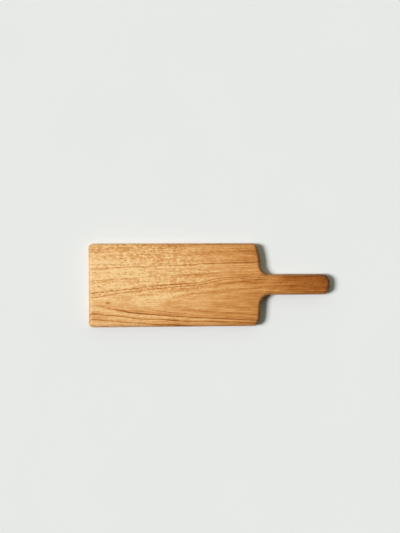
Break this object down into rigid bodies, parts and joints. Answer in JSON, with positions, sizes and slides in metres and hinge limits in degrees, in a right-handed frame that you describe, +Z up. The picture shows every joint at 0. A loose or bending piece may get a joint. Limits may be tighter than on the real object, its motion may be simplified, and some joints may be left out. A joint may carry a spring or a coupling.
{
  "type": "cheese board",
  "caption": "Paddle-shaped wooden cheese board with a straight handle, rounded edges and softly bowed shoulders, edge-glued from staves; lies flat for serving.",
  "frame": {"origin": "under the middle of the board's outline, on its underside", "axes": "+X along the board towards the tip of the handle, +Y across it towards the rear stave, +Z up out of the serving face"},
  "size_m": [0.3926, 0.135, 0.015],
  "materials": {
    "oiled_wood": "planed and sanded golden-brown hardwood, oiled to a satin sheen",
    "cured_glue": "cured wood glue, scraped and sanded flush with the wood"
  },
  "bodies": {
    "root": {"handle_stave": "oiled_wood", "rear_stave": "oiled_wood", "front_stave": "oiled_wood", "rear_glue_line": "cured_glue", "front_glue_line": "cured_glue"}
  },
  "joints": []
}
